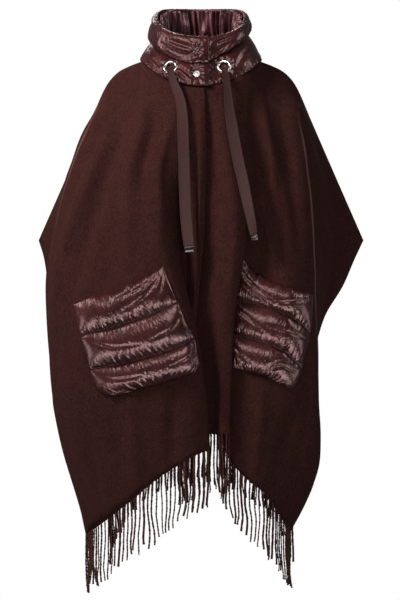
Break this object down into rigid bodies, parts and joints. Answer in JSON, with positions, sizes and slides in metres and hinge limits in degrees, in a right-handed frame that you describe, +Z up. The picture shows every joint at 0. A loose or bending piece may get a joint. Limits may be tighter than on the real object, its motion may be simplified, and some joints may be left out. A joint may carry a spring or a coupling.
{
  "type": "quilted cape",
  "caption": "Open-sided brushed wool cape with a padded stand collar, padded patch pockets, a ribbon drawstring with clips and fringed hems, in its worn hollow form.",
  "frame": {"origin": "middle of the neck, level with the collar seam at the sides; the cape is held there by the shoulders", "axes": "+Z up, -Y towards the front opening, +X towards the cape's left side as worn, which is at the viewer's right"},
  "size_m": [0.604, 0.3354, 1.0755],
  "materials": {
    "wool": "brushed wool, matt with a short nap",
    "nylon": "coated nylon over padding, glossy",
    "ribbon": "woven ribbon, slight sheen",
    "metal": "polished"
  },
  "bodies": {
    "root": {"front_left": "wool", "front_right": "wool", "back": "wool", "collar_lower": "nylon", "collar_upper": "nylon", "collar_lining": "nylon", "pocket_left": "nylon", "pocket_right": "nylon", "eyelet_left": "metal", "eyelet_right": "metal", "snap_lower": "metal", "snap_covered": "nylon", "snap_upper": "metal", "ribbon_left": "ribbon", "ribbon_right": "ribbon", "tip_left": "metal", "tip_right": "metal", "fringe_left": "wool", "fringe_right": "wool", "fringe_back": "wool"}
  },
  "joints": []
}
